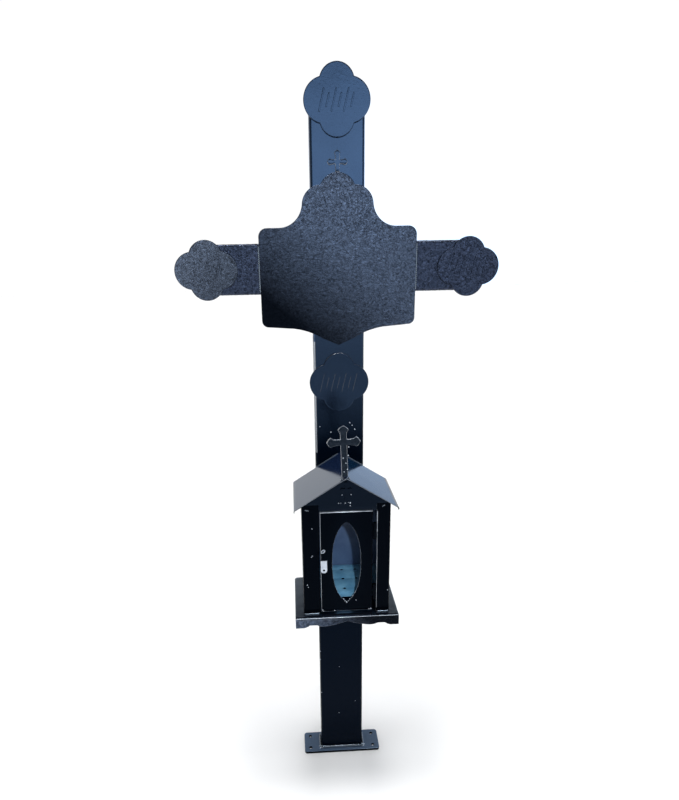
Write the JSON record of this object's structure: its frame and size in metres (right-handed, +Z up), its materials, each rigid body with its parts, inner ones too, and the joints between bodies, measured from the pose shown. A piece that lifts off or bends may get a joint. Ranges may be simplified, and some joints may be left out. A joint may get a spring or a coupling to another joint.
{
  "type": "wrought iron cross",
  "caption": "Painted steel grave cross on a bolted foot plate, with lobed end plates, a shaped centre plate and a gabled candle lantern with a hinged door.",
  "frame": {"origin": "middle of the foot plate's underside", "axes": "+Z up the post, -Y out of the cross's front, where the lantern is, +X to the right of someone facing the front"},
  "size_m": [0.7348, 0.232, 1.7823],
  "materials": {
    "black_gloss_paint": "black gloss enamel with a fine hammered texture, smooth and glossier low down",
    "painted_weld": "rippled weld bead under the same black gloss enamel",
    "lantern_inside_paint": "blue-grey satin paint inside the lantern",
    "zinc_plate": "bright zinc plating"
  },
  "bodies": {
    "cross": {"foot_plate": "black_gloss_paint", "foot_weld": "painted_weld", "post_tube": "black_gloss_paint", "post_cap": "black_gloss_paint", "arm_tube_left": "black_gloss_paint", "arm_tube_right": "black_gloss_paint", "arm_cap_left": "black_gloss_paint", "arm_cap_right": "black_gloss_paint", "plate_top": "black_gloss_paint", "plate_left": "black_gloss_paint", "plate_right": "black_gloss_paint", "plate_lower": "black_gloss_paint", "cartouche": "black_gloss_paint", "relief_cross": "black_gloss_paint", "lantern_base": "black_gloss_paint", "lantern_back": "black_gloss_paint", "lantern_side_left": "black_gloss_paint", "lantern_side_right": "black_gloss_paint", "lantern_gable": "black_gloss_paint", "lantern_roof": "black_gloss_paint", "finial_cross": "black_gloss_paint", "gable_cross": "black_gloss_paint", "candle_tray": "lantern_inside_paint", "latch_keeper": "black_gloss_paint", "hinge_frame_lower": "black_gloss_paint", "hinge_frame_upper": "black_gloss_paint"},
    "door": {"door_panel": "black_gloss_paint", "hinge_door_lower": "black_gloss_paint", "hinge_door_upper": "black_gloss_paint", "latch_tab": "zinc_plate", "latch_loop": "zinc_plate"}
  },
  "joints": [
    {"name": "door_hinge", "type": "hinge", "parent": "cross", "child": "door", "pos_m": [0.065, -0.18125, 0], "axis": [0, 0, 1], "range_deg": [0, 110]}
  ]
}
